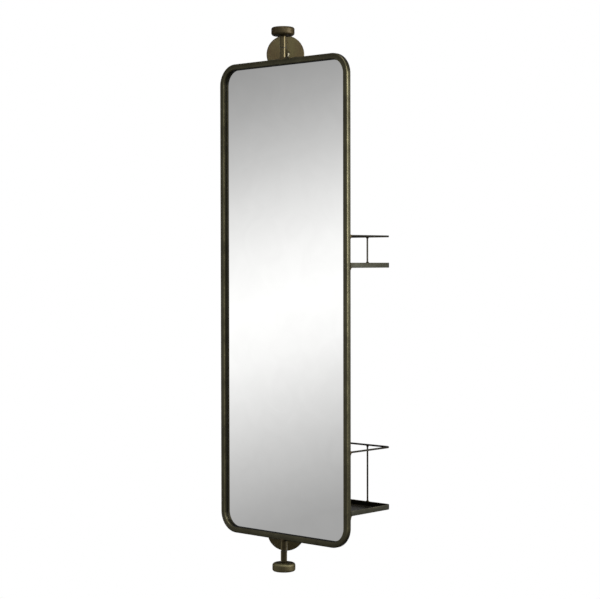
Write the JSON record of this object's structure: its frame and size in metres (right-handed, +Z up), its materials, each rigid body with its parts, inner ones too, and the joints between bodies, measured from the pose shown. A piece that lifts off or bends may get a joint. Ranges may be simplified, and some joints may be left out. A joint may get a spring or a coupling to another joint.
{
  "type": "pivot wall mirror",
  "caption": "Tall mirror in a rounded metal frame that turns on vertical pivots between two wall brackets, with railed trays behind the glass.",
  "frame": {"origin": "centre of the lower wall plate's back face, where it meets the wall", "axes": "+Z up along the pivot axis, +Y into the wall, -Y towards the room, +X to the right as seen from the room"},
  "size_m": [0.2954, 0.3233, 0.9588],
  "materials": {
    "frame_brass": "satin antique brass, dark olive-brown patina",
    "tray_brass": "satin antique brass, dark olive-brown patina",
    "bracket_brass": "satin antique brass, a little brighter",
    "knob_brass": "turned antique brass, rubbed bright on its edges",
    "weld_bead": "brazed bead, patinated",
    "mirror_glass": "silvered float glass",
    "foam_tape": "matt",
    "zinc_steel": "zinc plated",
    "acetal_bush": "dark matt"
  },
  "bodies": {
    "wall_brackets": {"lower_wall_plate": "bracket_brass", "upper_wall_plate": "bracket_brass", "lower_arm": "bracket_brass", "upper_arm": "bracket_brass", "lower_arm_weld": "weld_bead", "upper_arm_weld": "weld_bead", "lower_sleeve": "bracket_brass", "upper_sleeve": "bracket_brass", "lower_bush": "acetal_bush", "upper_bush": "acetal_bush"},
    "mirror": {"lower_stud": "zinc_steel", "upper_stud": "zinc_steel", "lower_spacer": "frame_brass", "upper_spacer": "frame_brass", "lower_spacer_weld": "weld_bead", "upper_spacer_weld": "weld_bead", "frame_tube": "frame_brass", "mirror_glass": "mirror_glass", "mirror_tape": "foam_tape", "back_sheet": "frame_brass", "lower_tray_floor": "tray_brass", "lower_tray_rim": "tray_brass", "lower_rail": "tray_brass", "lower_rail_posts": "tray_brass", "upper_tray_floor": "tray_brass", "upper_tray_rim": "tray_brass", "upper_rail": "tray_brass", "upper_rail_posts": "tray_brass", "lower_post_welds": "weld_bead", "upper_post_welds": "weld_bead", "tray_welds": "weld_bead", "rail_welds": "weld_bead"},
    "lower_clamp": {"lower_knob": "knob_brass"},
    "upper_clamp": {"upper_knob": "knob_brass"}
  },
  "joints": [
    {"name": "mirror_turn", "type": "hinge", "parent": "wall_brackets", "child": "mirror", "pos_m": [0, -0.22, 0.4384], "axis": [0, 0, 1], "continuous": true},
    {"name": "lower_knob_turn", "type": "hinge", "parent": "mirror", "child": "lower_clamp", "pos_m": [0, -0.22, -0.02], "axis": [0, 0, -1], "continuous": true},
    {"name": "upper_knob_turn", "type": "hinge", "parent": "mirror", "child": "upper_clamp", "pos_m": [0, -0.22, 0.9], "axis": [0, 0, 1], "continuous": true}
  ]
}
